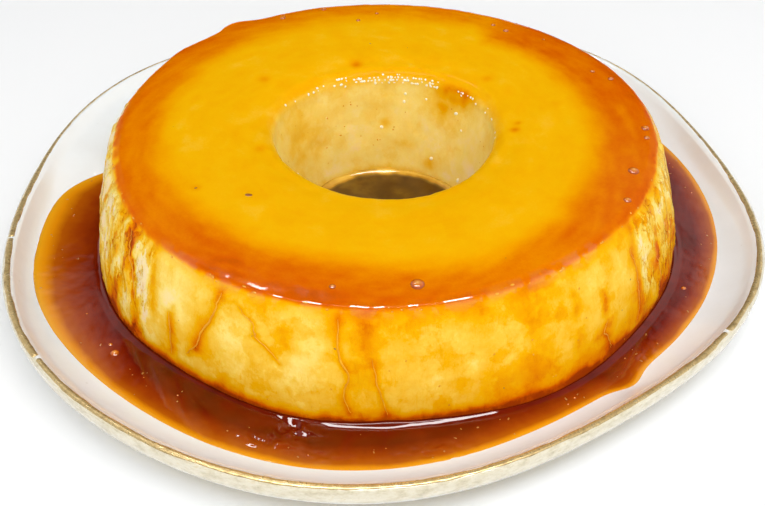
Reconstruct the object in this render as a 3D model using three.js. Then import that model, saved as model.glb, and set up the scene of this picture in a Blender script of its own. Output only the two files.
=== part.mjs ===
// A ring-shaped caramel pudding, turned out of its mould onto a hand-shaped ceramic plate, in its own caramel.
// Four solids: the plate, the pudding ring standing on it, the pool of caramel round the ring and the small pool
// inside its hole. Millimetres, +Z up. Azimuths are in degrees, counted from +X towards +Y.
// Every solid is a lathe whose section changes with azimuth. They share the pudding's upright axis, and the whole
// is then moved so that the origin lies on the table under the middle of the plate's outline.

import * as THREE from "three";

const AZIMUTH_STEPS = 72;
const GAP = 0.3; // left between touching solids

// Heights above the table.
const FLOOR = 7.5; // the plate's upper face under the pudding
const CARAMEL_LEVEL = 11; // the free surface of both pools
const RIM_TOP = 20; // the crest of the plate's lip
const PUDDING_EDGE = CARAMEL_LEVEL + 42.5; // where the pudding's side turns over into its top

// Plate.
const PLATE_RADIUS = 141.4; // to the crest of the lip
const PLATE_OFFSET = { away: 3.1, azimuth: 139 }; // plate's middle, seen from the pudding's axis
const PLATE_LOBES = [
  { count: 2, swell: 2.1, phase: 97 },
  { count: 3, swell: 1.7, phase: 62 },
  { count: 4, swell: 2.8, phase: -134 },
  { count: 5, swell: 2.7, phase: -71 },
];
const FLAT_RADIUS = 111; // of the plate's level floor
const SHORE = [0.92, 0.75, 0.4, 0]; // shares of the way from the level floor to the waterline, where faces bend
const SHORE_CURVE = 1.25; // above 1, the floor turns up gently before it steepens
const SLOPE = [0.62, 0.28, 0]; // shares of the way from the waterline to the lip, where faces bend
const LIP = 2.2; // radius of the rolled lip
const LIP_TURN = { from: 40, to: 180, steps: 5 };
const WALL_BULGE = 1.6; // how far the outer wall stands out past the crest
const WALL_CURL = 20; // how far in from its widest the outer wall has turned level
const WALL_TURN = { from: -80, to: 0, steps: 6 }; // the part of that quarter ellipse the wall follows
const UNDERSIDE = 3.5; // height of the plate's lower face
const FOOT = { radius: 86, width: 5, recess: 2, inner: 1, outer: 2, draft: 0.4 }; // the ring it stands on

// Caramel.
const POOL_RADIUS = 124.6;
const POOL_LOBES = [
  { count: 1, swell: 3.7, phase: -99 },
  { count: 2, swell: 6.1, phase: 60 },
  { count: 4, swell: 1.9, phase: 24 },
  { count: 5, swell: 1.3, phase: -147 },
];
const POOL_RUNS = [
  { azimuth: -48, spread: 3.5, swell: 3 }, // a small pointed run of caramel up the plate
  { azimuth: 173, spread: 8, swell: 3 }, // a shoulder, and beside it a notch
  { azimuth: 160, spread: 6, swell: -7 },
];
const POOL_LIP = 0.35; // how far the caramel's outer edge stands above its surface
const MENISCUS = { rise: 1.2, run: 3.2, bend: 0.32 }; // where it climbs the pudding

// Pudding.
const BASE_RADIUS = 109.2;
const EDGE_RADIUS = 100.3;
const SIDE_BULGE = 2.2;
const SIDE = [0, 0.2, 0.42, 0.64, 0.84]; // shares of the side's height, where faces bend
const FOOT_TUCK = 1.6; // how far the sunken foot of the side is drawn in
const EDGE_ROUNDING = 2.8;
const EDGE_TURN = { from: 12, to: 84, steps: 3 };
const CROWN = 1.7; // how far the middle of the top stands above its outer edge
const CROWN_RADIUS = 72;
const TOP = [91, 82, CROWN_RADIUS, 62, 53]; // radii on the top, where faces bend
const HOLE_TOP_RADIUS = 43.9;
const HOLE_BASE_RADIUS = 33;
const HOLE_ROUNDING = 6;
const HOLE_TURN = { from: 98, to: 172, steps: 4 };
const HOLE_TUCK = 3.3; // how far in from the hole's edge the straight part of its wall starts
const HOLE_DIP = 1; // how far the hole's edge lies below the top beside it
const HOLE = [0.62, 0.3, 0]; // shares of the hole's height, where faces bend
const BASE_LOBES = [{ count: 8, swell: 0.8, phase: -120 }];
const EDGE_LOBES = [
  { count: 1, swell: 0.8, phase: 170 },
  { count: 2, swell: 0.5, phase: 160 },
  { count: 3, swell: 1.0, phase: 42 },
];
const HOLE_LOBES = [{ count: 3, swell: 1.2, phase: 114 }];
const EDGE_LUMPS = [
  { azimuth: 128, spread: 4.5, swell: 3.6 }, // a fold left by the mould on the top edge
  { azimuth: 144, spread: 6, swell: 1.4 },
];

const radians = THREE.MathUtils.degToRad;

// The sum of the lobes' swells at an azimuth.
function swell(lobes, azimuth) {
  return lobes.reduce((sum, lobe) => sum + lobe.swell * Math.cos(radians(lobe.count * azimuth - lobe.phase)), 0);
}

// The sum, at an azimuth, of smooth bumps that each stand round one azimuth.
function bumps(list, azimuth) {
  return list.reduce((sum, each) => {
    const away = THREE.MathUtils.euclideanModulo(azimuth - each.azimuth + 180, 360) - 180;
    return sum + each.swell * Math.exp(-((away / each.spread) ** 2));
  }, 0);
}

// How far the plate's middle shifts a radius measured from the pudding's axis.
function plateShift(azimuth) {
  return PLATE_OFFSET.away * Math.cos(radians(azimuth - PLATE_OFFSET.azimuth));
}

function rimRadius(azimuth) {
  return PLATE_RADIUS + plateShift(azimuth) + swell(PLATE_LOBES, azimuth);
}

// Where the plate's inner face reaches the level of the caramel.
function waterline(azimuth) {
  return POOL_RADIUS + swell(POOL_LOBES, azimuth) + bumps(POOL_RUNS, azimuth);
}

// Height of the plate's inner face at a radius between the level floor and the lip.
function plateHeight(azimuth, radius) {
  const water = waterline(azimuth);
  if (radius <= FLAT_RADIUS) return FLOOR;
  if (radius <= water) {
    const share = (radius - FLAT_RADIUS) / (water - FLAT_RADIUS);
    return FLOOR + (CARAMEL_LEVEL - FLOOR) * share ** SHORE_CURVE;
  }
  const share = Math.min(1, (radius - water) / (rimRadius(azimuth) - LIP - water));
  return CARAMEL_LEVEL + ((RIM_TOP - LIP - CARAMEL_LEVEL) * (share + share * share)) / 2;
}

const point = (radius, height) => new THREE.Vector2(radius, height);

// Points on an elliptical corner, from one angle to another, in degrees counted from outwards towards up.
function corner(centreRadius, centreHeight, { from, to, steps }, width, height = width) {
  return Array.from({ length: steps + 1 }, (_, i) => {
    const angle = radians(from + ((to - from) * i) / steps);
    return point(centreRadius + width * Math.cos(angle), centreHeight + height * Math.sin(angle));
  });
}

// A lathe whose section is worked out anew at each azimuth, with its axis along +Z.
function variedLathe(sectionAt) {
  const columns = sectionAt(0).length;
  const geometry = new THREE.LatheGeometry(sectionAt(0), AZIMUTH_STEPS);
  const position = geometry.getAttribute("position");
  for (let i = 0; i <= AZIMUTH_STEPS; i++) {
    const azimuth = (360 * (i % AZIMUTH_STEPS)) / AZIMUTH_STEPS;
    const section = sectionAt(azimuth);
    for (let j = 0; j < columns; j++) {
      const { x: radius, y: height } = section[j];
      const along = radius * Math.cos(radians(azimuth));
      const across = radius * Math.sin(radians(azimuth));
      position.setXYZ(i * columns + j, along, across, height);
    }
  }
  geometry.computeVertexNormals();
  return geometry;
}

// A point on the plate's inner face, a share of the way from one radius to another.
function insidePoint(azimuth, from, to, share) {
  const radius = THREE.MathUtils.lerp(from, to, share);
  return point(radius, plateHeight(azimuth, radius));
}

// The plate, from the middle of its underside out over the foot, up the wall, over the lip and in to its floor.
function plateSection(azimuth) {
  const rim = rimRadius(azimuth);
  const water = waterline(azimuth);
  const foot = FOOT.radius + plateShift(azimuth);
  const lipHeight = RIM_TOP - LIP;
  return [
    point(0, FOOT.recess),
    point(foot - FOOT.width - FOOT.inner, FOOT.recess),
    point(foot - FOOT.width, 0),
    point(foot, 0),
    point(foot + FOOT.outer, UNDERSIDE - FOOT.draft),
    ...corner(rim + WALL_BULGE - WALL_CURL, lipHeight, WALL_TURN, WALL_CURL, lipHeight - UNDERSIDE),
    ...corner(rim, lipHeight, LIP_TURN, LIP),
    ...SLOPE.map((share) => insidePoint(azimuth, water, rim - LIP, share)),
    ...SHORE.map((share) => insidePoint(azimuth, FLAT_RADIUS, water, share)),
    point(0, FLOOR),
  ];
}

function puddingBaseRadius(azimuth) {
  return BASE_RADIUS + swell(BASE_LOBES, azimuth);
}

// Outer radius of the pudding's side at a share of the way from the caramel's surface up to its top edge.
function sideRadius(azimuth, share) {
  const base = puddingBaseRadius(azimuth);
  const edge = EDGE_RADIUS + swell(EDGE_LOBES, azimuth) + bumps(EDGE_LUMPS, azimuth) * share ** 3;
  return THREE.MathUtils.lerp(base, edge, share) + SIDE_BULGE * Math.sin(Math.PI * share);
}

// Radius of the hole at a share of the way from the caramel's surface up to the hole's rounded edge.
function holeRadius(azimuth, share) {
  const top = HOLE_TOP_RADIUS + swell(HOLE_LOBES, azimuth) - HOLE_TUCK;
  return THREE.MathUtils.lerp(HOLE_BASE_RADIUS, top, share);
}

// Height of the pudding's top between its two rounded edges.
function topHeight(radius) {
  const reach = radius > CROWN_RADIUS ? EDGE_RADIUS - CROWN_RADIUS : CROWN_RADIUS - HOLE_TOP_RADIUS;
  const drop = radius > CROWN_RADIUS ? CROWN : CROWN / 2;
  return PUDDING_EDGE + CROWN - drop * ((radius - CROWN_RADIUS) / reach) ** 2;
}

// The pudding, from the foot of its hole out under it, up its side, over the top and down the hole.
function puddingSection(azimuth) {
  const at = (share) => THREE.MathUtils.lerp(CARAMEL_LEVEL, PUDDING_EDGE, share);
  const edge = sideRadius(azimuth, 1) - EDGE_ROUNDING;
  const throat = holeRadius(azimuth, 1) + HOLE_ROUNDING;
  const lipHeight = topHeight(TOP.at(-1)) - HOLE_ROUNDING - HOLE_DIP;
  const holeFoot = point(HOLE_BASE_RADIUS, FLOOR + GAP);
  return [
    holeFoot,
    point(puddingBaseRadius(azimuth) - FOOT_TUCK, FLOOR + GAP),
    ...SIDE.map((share) => point(sideRadius(azimuth, share), at(share))),
    ...corner(edge, PUDDING_EDGE - EDGE_ROUNDING, EDGE_TURN, EDGE_ROUNDING),
    ...TOP.map((radius) => point(radius, topHeight(radius))),
    ...corner(throat, lipHeight, HOLE_TURN, HOLE_ROUNDING),
    ...HOLE.map((share) => point(holeRadius(azimuth, share), at(share))),
    holeFoot.clone(),
  ];
}

// The outer pool, from its foot against the pudding out along the plate, and back over its surface.
function poolSection(azimuth) {
  const start = sideRadius(azimuth, 0) + GAP;
  const foot = point(start, FLOOR + GAP);
  const bed = SHORE.toReversed().map((share) => insidePoint(azimuth, FLAT_RADIUS, waterline(azimuth), share));
  bed.forEach((place) => (place.y += GAP));
  return [
    foot,
    ...bed,
    point(bed.at(-1).x, CARAMEL_LEVEL + POOL_LIP),
    point(start + MENISCUS.run, CARAMEL_LEVEL),
    point(start + MENISCUS.run * MENISCUS.bend, CARAMEL_LEVEL + MENISCUS.rise * MENISCUS.bend),
    point(start, CARAMEL_LEVEL + MENISCUS.rise),
    foot.clone(),
  ];
}

// The pool inside the hole: a disc whose edge climbs the hole's wall a little.
function centrePoolSection() {
  const wall = HOLE_BASE_RADIUS - GAP;
  return [
    point(0, FLOOR + GAP),
    point(wall, FLOOR + GAP),
    point(wall, CARAMEL_LEVEL + MENISCUS.rise),
    point(wall - MENISCUS.run * MENISCUS.bend, CARAMEL_LEVEL + MENISCUS.rise * MENISCUS.bend),
    point(wall - MENISCUS.run, CARAMEL_LEVEL),
    point(0, CARAMEL_LEVEL),
  ];
}

function piece(name, sectionAt, colour, roughness) {
  const material = new THREE.MeshStandardMaterial({ color: colour, roughness });
  const mesh = new THREE.Mesh(variedLathe(sectionAt), material);
  mesh.name = name;
  return mesh;
}

const plate = piece("plate", plateSection, 0xeceae4, 0.25);
const pudding = piece("pudding", puddingSection, 0xf2c14e, 0.3);
const pool = piece("caramel_pool", poolSection, 0x8a3208, 0.08);
const centrePool = piece("caramel_centre_pool", centrePoolSection, 0x6b4512, 0.08);

const served = new THREE.Group().add(plate, pudding, pool, centrePool);
const middle = new THREE.Box3().setFromObject(plate).getCenter(new THREE.Vector3());
served.position.set(-middle.x, -middle.y, 0);

const group = new THREE.Group().add(served);

export default group;
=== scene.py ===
"""A ring-shaped caramel pudding in its own caramel, on a hand-shaped plate with a brass-coloured lip.

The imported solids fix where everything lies. Each is replaced by a finer mesh of the same form, and what is
too small for a solid is added: the band, threads and beads of caramel, bubbles, crumbs and specks.
Until a mesh is made, lengths are in millimetres, and azimuths in degrees round the pudding's upright axis,
from +X towards +Y. Arrays of places have a row for each azimuth and a column for each point of the section.
"""

import math

import bpy
import numpy as np
from mathutils import Matrix, Vector


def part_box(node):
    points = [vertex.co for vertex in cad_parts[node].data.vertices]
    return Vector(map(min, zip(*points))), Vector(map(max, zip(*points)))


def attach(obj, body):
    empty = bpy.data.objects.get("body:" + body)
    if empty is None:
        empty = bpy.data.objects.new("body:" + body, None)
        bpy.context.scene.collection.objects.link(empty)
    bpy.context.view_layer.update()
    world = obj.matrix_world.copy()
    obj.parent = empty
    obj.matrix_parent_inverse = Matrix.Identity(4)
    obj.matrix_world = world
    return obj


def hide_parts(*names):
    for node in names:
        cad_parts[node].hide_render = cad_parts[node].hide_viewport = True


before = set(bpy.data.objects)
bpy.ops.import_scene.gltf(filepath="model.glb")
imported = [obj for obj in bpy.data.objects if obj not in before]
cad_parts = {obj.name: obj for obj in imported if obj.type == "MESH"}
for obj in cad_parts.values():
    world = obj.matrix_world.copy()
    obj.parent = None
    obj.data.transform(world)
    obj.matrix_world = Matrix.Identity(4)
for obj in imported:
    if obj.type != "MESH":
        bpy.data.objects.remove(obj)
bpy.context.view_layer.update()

MM = 0.001
CENTRE_LOW, CENTRE_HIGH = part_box("caramel_centre_pool")
_, PLATE_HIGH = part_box("plate")
_, PUDDING_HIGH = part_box("pudding")
AXIS = (CENTRE_LOW + CENTRE_HIGH) / 2  # the pudding's upright axis, in metres
AXIS.z = 0

# Heights above the table.
INSET = 0.15  # how far the fine meshes are drawn in from the solids' tops and rim
LIP_OVER_CARAMEL = 9
CARAMEL_DEPTH = 3.5
RIM_TOP = PLATE_HIGH.z / MM - INSET
LEVEL = RIM_TOP + INSET - LIP_OVER_CARAMEL  # the caramel's surface
FLOOR = LEVEL - CARAMEL_DEPTH  # the plate's upper face
CREST = PUDDING_HIGH.z / MM - INSET  # the highest ring of the pudding's top
GAP = 0.3  # between the plate and the pudding

# Plate.
PLATE_RADIUS = 141.4
PLATE_OFFSET = (3.1, 139)  # how far, and towards which azimuth, its middle lies from the pudding's axis
PLATE_LOBES = [(2, 2.1, 97), (3, 1.7, 62), (4, 2.8, -134), (5, 2.7, -71)]  # count, swell, phase
FLAT_RADIUS = 111  # the plate's floor is level this far out
LIP = 2.2
LIP_ARC = (42, 142)  # the lip's rounding, in degrees from outwards towards up
LIP_INSIDE = 146  # where the lip's inner side starts, in the same degrees
FILLET = 4  # how far in from the lip its inner side runs out
WALL_BULGE = 1.6
WALL_CURL = 20
UNDERSIDE = 3.5
FOOT_RADIUS = 86
FOOT_WIDTH = 5
FOOT_RECESS = 2

# Caramel.
POOL_RADIUS = 124.6
POOL_LOBES = [(1, 3.7, -99), (2, 6.1, 60), (4, 1.9, 24), (5, 1.3, -147)]
POOL_RUNS = [(-48, 3.5, 3), (173, 8, 3), (160, 6, -7)]  # azimuth, spread, swell
MENISCUS_RISE = 1.6
MENISCUS_RUN = 3.2

# Pudding.
BASE_RADIUS = 109.2
EDGE_RADIUS = 100.3
SIDE_BULGE = 2.2
EDGE_ROUNDING = 2.8
CROWN = 1.7
CROWN_RADIUS = 72
EDGE_HEIGHT = CREST - CROWN
HOLE_TOP_RADIUS = 43.9
HOLE_BASE_RADIUS = 33
HOLE_ROUNDING = 6
HOLE_TUCK = 3.3
BASE_LOBES = [(8, 0.8, -120)]
EDGE_LOBES = [(1, 0.8, 170), (2, 0.5, 160), (3, 1.0, 42)]
HOLE_LOBES = [(3, 1.2, 114)]
EDGE_LUMPS = [(128, 4.5, 3.6), (144, 6, 1.4)]

RING_STEPS = 640  # azimuths of the pudding
POOL_STEPS = 800
POOL_COLUMNS = 40  # points across the pool's surface
CENTRE_STEPS = 240
CENTRE_COLUMNS = 34
PLATE_STEPS = 480
BAND_STEPS = 1200

# Labels of the pudding's columns, by stretch of its section. The underside comes last.
HOLE_WALL, HOLE_EDGE, TOP, TOP_EDGE, SIDE = range(5)


# ---- Formulas of the form ----


def swell(lobes, azimuth):
    return sum(size * np.cos(np.radians(count * azimuth - phase)) for count, size, phase in lobes)


def apart(azimuth, centre):
    """Signed angle from centre to azimuth, between -180 and 180."""
    return (azimuth - centre + 180) % 360 - 180


def peak(away, width, power=2):
    """1 at no distance away, and a smooth fall to nearly 0 beyond width."""
    return np.exp(-((away / width) ** power))


def bumps(runs, azimuth):
    return sum(size * peak(apart(azimuth, centre), spread) for centre, spread, size in runs)


def mix(low, high, share):
    return low + (high - low) * share


def ease(value, none, full):
    """A smooth step from 0 at none to 1 at full, which may be the lower of the two."""
    share = np.clip((value - none) / (full - none), 0, 1)
    return share * share * (3 - 2 * share)


def within(stretches, azimuth, soft):
    """1 inside the stretches, each a middle and a half width, easing to 0 at their ends."""
    return sum(ease(np.abs(apart(azimuth, at)), half, half - soft) for at, half in stretches)


def share_up(height):
    """Share of the way from the caramel's surface up to the pudding's top edge."""
    return (height - LEVEL) / (EDGE_HEIGHT - LEVEL)


def plate_shift(azimuth):
    """How much further out the plate reaches at an azimuth for standing off the pudding's axis."""
    away, towards = PLATE_OFFSET
    return away * np.cos(np.radians(azimuth - towards))


def rim_radius(azimuth):
    return PLATE_RADIUS - INSET + plate_shift(azimuth) + swell(PLATE_LOBES, azimuth)


def waterline(azimuth):
    return POOL_RADIUS + swell(POOL_LOBES, azimuth) + bumps(POOL_RUNS, azimuth)


def plate_height(azimuth, radius):
    """Height of the plate's inner face."""
    water = waterline(azimuth)
    under = np.clip((radius - FLAT_RADIUS) / (water - FLAT_RADIUS), 0, 1)
    above = np.clip((radius - water) / (rim_radius(azimuth) - LIP - water), 0, 1)
    return FLOOR + (LEVEL - FLOOR) * under**1.25 + (RIM_TOP - LIP - LEVEL) * (above + above**2) / 2


def base_radius(azimuth):
    return BASE_RADIUS + swell(BASE_LOBES, azimuth)


def side_radius(azimuth, share):
    """Outer radius of the pudding at a share of the way from the caramel up to the top edge."""
    edge = EDGE_RADIUS + swell(EDGE_LOBES, azimuth) + bumps(EDGE_LUMPS, azimuth) * share**3
    return mix(base_radius(azimuth), edge, share) + SIDE_BULGE * np.sin(np.pi * np.clip(share, 0, 1))


def hole_radius(azimuth, share):
    top = HOLE_TOP_RADIUS + swell(HOLE_LOBES, azimuth) - HOLE_TUCK
    return mix(HOLE_BASE_RADIUS, top, share)


def top_height(radius):
    outside = radius > CROWN_RADIUS
    reach = np.where(outside, EDGE_RADIUS - CROWN_RADIUS, CROWN_RADIUS - HOLE_TOP_RADIUS)
    drop = np.where(outside, CROWN, CROWN / 2)
    return CREST - drop * ((radius - CROWN_RADIUS) / reach) ** 2


# ---- Noise ----


def lattice_noise(points, size, seed):
    """Smooth noise between -1 and 1, with features about size across."""
    place = points / size
    cell = np.floor(place).astype(np.int64)
    part = place - cell
    part = part * part * (3 - 2 * part)
    total = np.zeros(place.shape[:-1])
    for corner in np.ndindex(2, 2, 2):
        key = (cell + corner) * (73856093, 19349663, 83492791)
        code = key[..., 0] ^ key[..., 1] ^ key[..., 2] ^ (seed * 2654435761)
        code = (code ^ (code >> 15)) * 668265263 & 0xFFFFFFFF
        code = (code ^ (code >> 13)) * 374761393 & 0xFFFFFFFF
        value = ((code >> 8) & 0xFFFF) / 32767.5 - 1
        weight = np.prod(np.where(corner, part, 1 - part), axis=-1)
        total += value * weight
    return total


def rough(points, size, seed, octaves=3, stretch=(1, 1, 1)):
    """Noise in several sizes, stretched along each axis by its factor."""
    points = points / np.array(stretch)
    layers = range(octaves)
    return sum(lattice_noise(points, size / 2**i, seed + i) / 2**i for i in layers) / 1.6


def ring_points(azimuth, first, second):
    """Noise places for patterns that are drawn out along the ring."""
    turn = np.radians(azimuth)
    return np.stack([first + 40 * np.cos(turn), second + 40 * np.sin(turn), 40 * np.cos(turn)], axis=-1)


# ---- Mesh making ----


def spun(radius, height, azimuth):
    """Places on rings: radius and height have a row for each azimuth."""
    turn = np.radians(azimuth)[:, None]
    upright = np.broadcast_to(height, radius.shape)
    return np.stack([radius * np.cos(turn), radius * np.sin(turn), upright], axis=-1)


def azimuths(steps):
    return np.arange(steps) * 360 / steps


def normals_of(places):
    """Unit normals of a closed ring of places, pointing away from the side the section turns round."""
    around = np.roll(places, -1, axis=0) - np.roll(places, 1, axis=0)
    along = np.gradient(places, axis=1)
    normal = np.cross(along, around)
    return normal / np.maximum(np.linalg.norm(normal, axis=-1, keepdims=True), 1e-9)


def finish_mesh(name, points, faces, material, fields):
    """A smooth-shaded object from points about the pudding's axis, riding on the one body."""
    mesh = bpy.data.meshes.new(name)
    mesh.from_pydata((points * MM + np.array(AXIS)).tolist(), [], faces)
    for field, values in fields.items():
        attribute = mesh.attributes.new(field, "FLOAT", "POINT")
        attribute.data.foreach_set("value", np.ascontiguousarray(values, dtype=np.float32).ravel())
    mesh.polygons.foreach_set("use_smooth", [True] * len(mesh.polygons))
    mesh.materials.append(material)
    mesh.update()
    piece = bpy.data.objects.new(name, mesh)
    bpy.context.scene.collection.objects.link(piece)
    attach(piece, "root")
    return piece


def ring_faces(rings, columns, closed):
    """Quads of a ring of sections; a closed section's last column joins its first."""
    index = np.arange(rings * columns).reshape(rings, columns)
    index = np.vstack([index, index[:1]])
    if closed:
        index = np.hstack([index, index[:, :1]])
    quads = np.stack([index[:-1, :-1], index[:-1, 1:], index[1:, 1:], index[1:, :-1]], axis=-1)
    return quads.reshape(-1, 4).tolist()


def ring_piece(name, places, material, fields):
    """A closed ring of closed sections."""
    rings, columns = places.shape[:2]
    flat = {field: values.reshape(-1) for field, values in fields.items()}
    faces = ring_faces(rings, columns, closed=True)
    return finish_mesh(name, places.reshape(-1, 3), faces, material, flat)


def disc_piece(name, places, material, fields):
    """A closed body whose sections all start and end on the axis: the two ends become single points."""
    rings, columns = places.shape[:2]
    flat = {}
    for field, values in fields.items():
        flat[field] = np.append(values.reshape(-1), [values[0, 0], values[0, -1]])
    first, last = rings * columns, rings * columns + 1
    faces = ring_faces(rings, columns, closed=False)
    for i in range(rings):
        after = (i + 1) % rings
        faces.append((first, i * columns, after * columns))
        faces.append((last, after * columns + columns - 1, i * columns + columns - 1))
    ends = [[0, 0, places[0, 0, 2]], [0, 0, places[0, -1, 2]]]
    points = np.vstack([places.reshape(-1, 3), ends])
    return finish_mesh(name, points, faces, material, flat)


# ---- Materials ----


def linear(code):
    """A colour written as RRGGBB, as the shader wants it."""
    parts = [int(code[i : i + 2], 16) / 255 for i in (0, 2, 4)]
    return [p / 12.92 if p <= 0.04045 else ((p + 0.055) / 1.055) ** 2.4 for p in parts] + [1]


class Nodes:
    """The shader nodes of one tree, made by short calls."""

    def __init__(self, tree):
        self.tree = tree

    def node(self, kind, **settings):
        made = self.tree.nodes.new("ShaderNode" + kind)
        for setting, value in settings.items():
            setattr(made, setting, value)
        return made

    def link(self, value, socket):
        if isinstance(value, bpy.types.NodeSocket):
            self.tree.links.new(value, socket)
        else:
            socket.default_value = value

    def maths(self, operation, first, second=0.0, clamp=False):
        made = self.node("Math", operation=operation, use_clamp=clamp)
        self.link(first, made.inputs[0])
        self.link(second, made.inputs[1])
        return made.outputs[0]

    def plus(self, first, second, clamp=False):
        return self.maths("ADD", first, second, clamp)

    def minus(self, first, second, clamp=False):
        return self.maths("SUBTRACT", first, second, clamp)

    def times(self, first, second, clamp=False):
        return self.maths("MULTIPLY", first, second, clamp)


class Shading(Nodes):
    """A material, given values of its surface's sockets, with _ for each space in a socket's name."""

    def __init__(self, name, **values):
        self.material = bpy.data.materials.new(name)
        self.material.use_nodes = True
        super().__init__(self.material.node_tree)
        self.surface = self.tree.nodes["Principled BSDF"]
        self.drive(**values)

    def field(self, name):
        return self.node("Attribute", attribute_name=name).outputs["Fac"]

    def place(self, stretch=(1, 1, 1)):
        """Object coordinates in millimetres, divided by stretch."""
        scaled = self.node("Mapping")
        scaled.inputs["Scale"].default_value = [1 / (MM * s) for s in stretch]
        self.tree.links.new(self.node("TexCoord").outputs["Object"], scaled.inputs["Vector"])
        return scaled.outputs["Vector"]

    def noise(self, size, detail=3, stretch=(1, 1, 1), roughness=0.55):
        """Noise between 0 and 1 with features about size millimetres across."""
        made = self.node("TexNoise")
        self.link(self.place(stretch), made.inputs["Vector"])
        made.inputs["Scale"].default_value = 1 / size
        made.inputs["Detail"].default_value = detail
        made.inputs["Roughness"].default_value = roughness
        return made.outputs["Fac"]

    def cells(self, size):
        """Distance from the nearest of many scattered points, in cell sizes."""
        made = self.node("TexVoronoi")
        self.link(self.place(), made.inputs["Vector"])
        made.inputs["Scale"].default_value = 1 / size
        return made.outputs["Distance"]

    def ranged(self, value, from_low, from_high, to_low, to_high):
        """A smooth step from to_low to to_high as the value goes from from_low to from_high."""
        made = self.node("MapRange", interpolation_type="SMOOTHSTEP")
        for socket, each in zip(made.inputs, (value, from_low, from_high, to_low, to_high)):
            self.link(each, socket)
        return made.outputs[0]

    def ramp(self, value, stops):
        """Colours along a value, from (place, RRGGBB) pairs."""
        made = self.node("ValToRGB")
        for _ in stops[2:]:
            made.color_ramp.elements.new(0.5)
        for element, (place, colour) in zip(made.color_ramp.elements, stops):
            element.position = place
            element.color = linear(colour)
        self.link(value, made.inputs[0])
        return made.outputs[0]

    def blend(self, share, first, second):
        made = self.node("Mix", data_type="RGBA")
        self.link(share, made.inputs[0])
        self.link(first, made.inputs[6])
        self.link(second, made.inputs[7])
        return made.outputs[2]

    def bump(self, height, depth):
        """Relief of the given depth in millimetres."""
        made = self.node("Bump")
        made.inputs["Strength"].default_value = 1
        made.inputs["Distance"].default_value = depth * MM
        self.link(height, made.inputs["Height"])
        self.link(made.outputs[0], self.surface.inputs["Normal"])

    def drive(self, **values):
        """Set the surface's sockets, to plain values or to the outputs of nodes."""
        for socket, value in values.items():
            self.link(value, self.surface.inputs[socket.replace("_", " ")])
        return self.material


# From bare custard to custard deeply stained by caramel.
CUSTARD_COLOURS = [
    (0.0, "FADFAC"), (0.12, "FADC78"), (0.26, "F3C648"), (0.42, "EDAE05"), (0.56, "E99A00"),
    (0.7, "DF7C00"), (0.84, "D15B00"), (1.0, "A03B04"),
]


def custard_material():
    """Moist custard, whose colour follows how much caramel has soaked in."""
    made = Shading("custard", IOR=1.36, Specular_IOR_Level=0.03, Coat_Roughness=0.07, Coat_IOR=1.65)
    made.drive(Subsurface_Weight=0.3, Subsurface_Scale=0.003, Subsurface_Radius=(1.0, 0.55, 0.15))
    mottle = made.ranged(made.noise(9, detail=8, roughness=0.62), 0.3, 0.7, -0.13, 0.1)
    patch = made.ranged(made.noise(13, detail=7, roughness=0.6), 0.5, 0.56, 0, 0.13)
    mottle = made.times(made.plus(mottle, patch), made.field("texture"))
    grain = made.ranged(made.noise(0.8, detail=3), 0.3, 0.7, -0.012, 0.012)
    bend = made.noise(1.7, detail=4, stretch=(1, 1, 7))
    line = made.ranged(made.maths("ABSOLUTE", made.minus(bend, 0.5)), 0.0, 0.03, 0.42, 0)
    line = made.times(line, made.ranged(made.noise(7, detail=2), 0.46, 0.58, 0, 1))
    flake = made.ranged(made.noise(6, detail=6, stretch=(1, 1, 2.5), roughness=0.6), 0.47, 0.5, 0, -0.26)
    fibre = made.times(made.plus(line, flake), made.field("torn"))
    uneven = made.plus(made.plus(mottle, grain), fibre)
    stain = made.plus(made.field("stain"), uneven, clamp=True)
    dry = made.ranged(made.field("stain"), 0.15, 0.42, 0.36, 0.15)
    dull = made.plus(dry, made.ranged(made.noise(2.5), 0.3, 0.7, -0.05, 0.05))
    wet = made.times(made.field("glazed"), made.ranged(made.noise(6, detail=2), 0.46, 0.48, 0, 1))
    relief = made.plus(made.noise(1.1, detail=4), made.times(made.noise(4.5), 1.5))
    relief = made.times(relief, made.field("texture"))
    made.bump(made.plus(relief, made.times(fibre, -2.5)), 0.2)
    return made.drive(Base_Color=made.ramp(stain, CUSTARD_COLOURS), Roughness=dull, Coat_Weight=wet)


# From the thin edge of the caramel to its full depth.
CARAMEL_COLOURS = [
    (0.0, "D89C26"), (0.05, "E8A016"), (0.13, "DE8A0A"), (0.24, "AF5607"), (0.42, "993D07"),
    (0.64, "822805"), (0.82, "6E1804"), (1.0, "561303"),
]


def caramel_material(name, stops, ripple):
    """Liquid caramel over a white plate, coloured by its depth."""
    made = Shading(name, Roughness=0.04, IOR=1.45)
    cloud = made.ranged(made.noise(7, detail=4), 0.3, 0.7, -0.05, 0.05)
    cloud = made.times(cloud, made.ranged(made.field("depth"), 0.1, 0.5, 0, 1))
    made.bump(made.noise(3.5, detail=4), ripple)
    return made.drive(Base_Color=made.ramp(made.plus(made.field("depth"), cloud, clamp=True), stops))


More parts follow.
